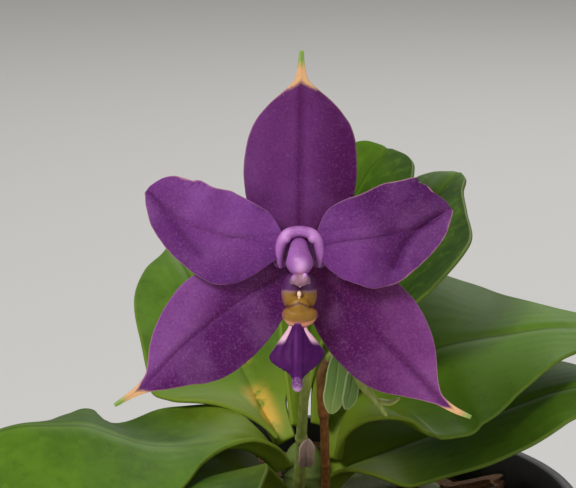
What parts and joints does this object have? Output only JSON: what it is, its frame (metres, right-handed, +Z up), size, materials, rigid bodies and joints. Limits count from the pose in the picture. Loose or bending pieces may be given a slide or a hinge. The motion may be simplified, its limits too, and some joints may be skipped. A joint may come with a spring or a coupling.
{
  "type": "potted orchid",
  "caption": "Potted moth orchid species: one open five-pointed bloom on a short arched spike, broad arching leaves, thick roots over bark chips, and a tapered round nursery pot.",
  "frame": {"origin": "centre of the underside of the pot, which stands on +Z = 0", "axes": "+Z up along the pot's axis; the bloom faces -Y, towards the viewer of the picture; +X to the viewer's right"},
  "size_m": [0.1301, 0.1156, 0.1872],
  "materials": {
    "pot_plastic": "satin",
    "bark": "matte",
    "stem_green": "matte",
    "leaf_green": "satin",
    "spike_brown": "satin",
    "spike_green": "satin",
    "tepal_purple": "satin",
    "tepal_deep_purple": "satin",
    "column_lilac": "satin",
    "cap_lilac": "satin",
    "lip_purple": "satin"
  },
  "bodies": {
    "root": {"pot": "pot_plastic", "bark": "bark", "stem_and_roots": "stem_green", "leaf_lower_left": "leaf_green", "leaf_lower_right": "leaf_green", "leaf_front_left": "leaf_green", "leaf_right": "leaf_green", "leaf_back_left": "leaf_green", "leaf_back_right": "leaf_green", "leaf_newest": "leaf_green", "peduncle": "spike_brown", "rachis_and_bracts": "spike_green", "old_spike": "spike_green", "pedicel": "spike_green", "dorsal_sepal": "tepal_purple", "petal_left": "tepal_purple", "petal_right": "tepal_purple", "lateral_sepal_left": "tepal_deep_purple", "lateral_sepal_right": "tepal_deep_purple", "column": "column_lilac", "anther_cap": "cap_lilac", "lip": "lip_purple"}
  },
  "joints": []
}
